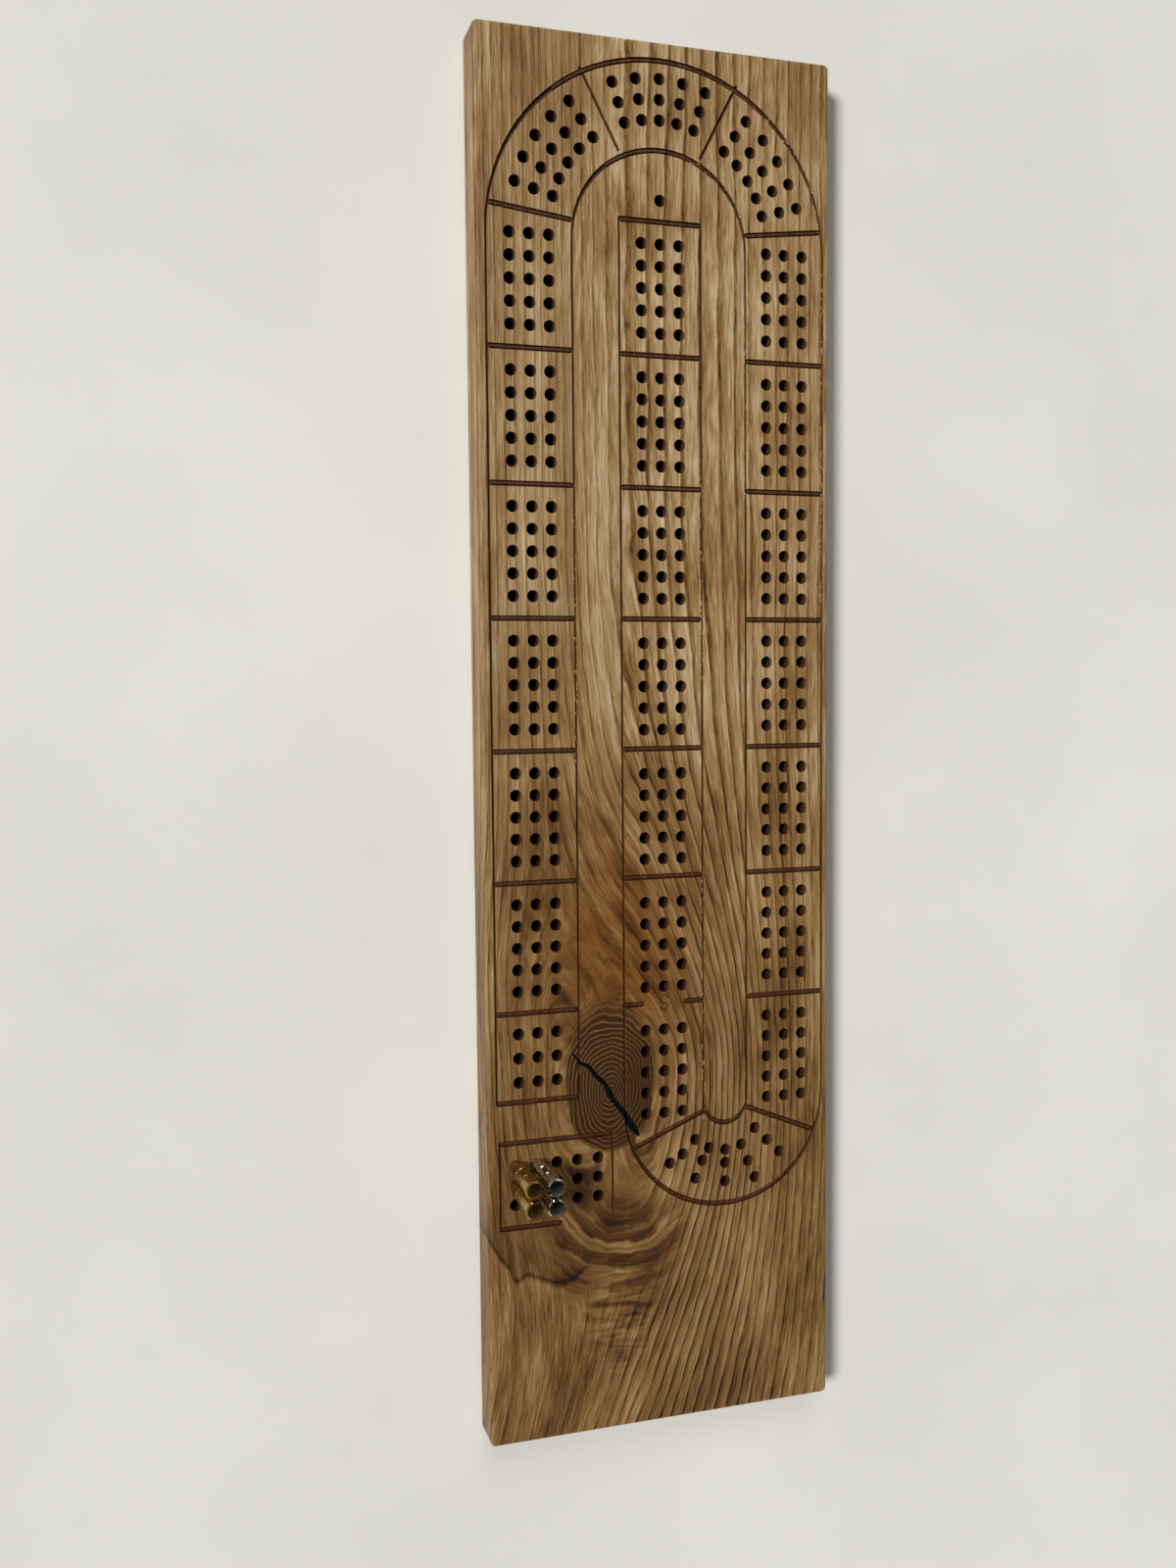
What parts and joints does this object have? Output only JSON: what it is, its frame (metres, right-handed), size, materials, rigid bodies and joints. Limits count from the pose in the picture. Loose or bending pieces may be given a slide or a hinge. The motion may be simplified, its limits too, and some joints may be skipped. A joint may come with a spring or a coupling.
{
  "type": "cribbage board",
  "caption": "Flat wooden cribbage board with lanes of peg holes round a hairpin course, routed track outlines, a resin-filled crack and turned metal pegs.",
  "frame": {"origin": "centre of the board's flat underside", "axes": "+Z out of the playing face, +Y from the foot of the board towards its arched end, +X to the right of someone who faces the board with the arch away from them"},
  "size_m": [0.1016, 0.381, 0.0326],
  "materials": {
    "oiled_ash": "oiled, satin",
    "black_resin": "cast resin, sanded flush",
    "brass": "polished",
    "plated_metal": "bright plated"
  },
  "bodies": {
    "plank": {"board": "oiled_ash", "crack_fill": "black_resin"},
    "brass_peg_upper": {"peg_brass_1": "brass"},
    "brass_peg_lower": {"peg_brass_2": "brass"},
    "silver_peg_upper": {"peg_silver_1": "plated_metal"},
    "silver_peg_lower": {"peg_silver_2": "plated_metal"}
  },
  "joints": [
    {"name": "brass_peg_upper_lift", "type": "slide", "parent": "plank", "child": "brass_peg_upper", "axis": [0, 0, 1], "range_m": [0, 0.012]},
    {"name": "brass_peg_lower_lift", "type": "slide", "parent": "plank", "child": "brass_peg_lower", "axis": [0, 0, 1], "range_m": [0, 0.012]},
    {"name": "silver_peg_upper_lift", "type": "slide", "parent": "plank", "child": "silver_peg_upper", "axis": [0, 0, 1], "range_m": [0, 0.012]},
    {"name": "silver_peg_lower_lift", "type": "slide", "parent": "plank", "child": "silver_peg_lower", "axis": [0, 0, 1], "range_m": [0, 0.012]}
  ]
}
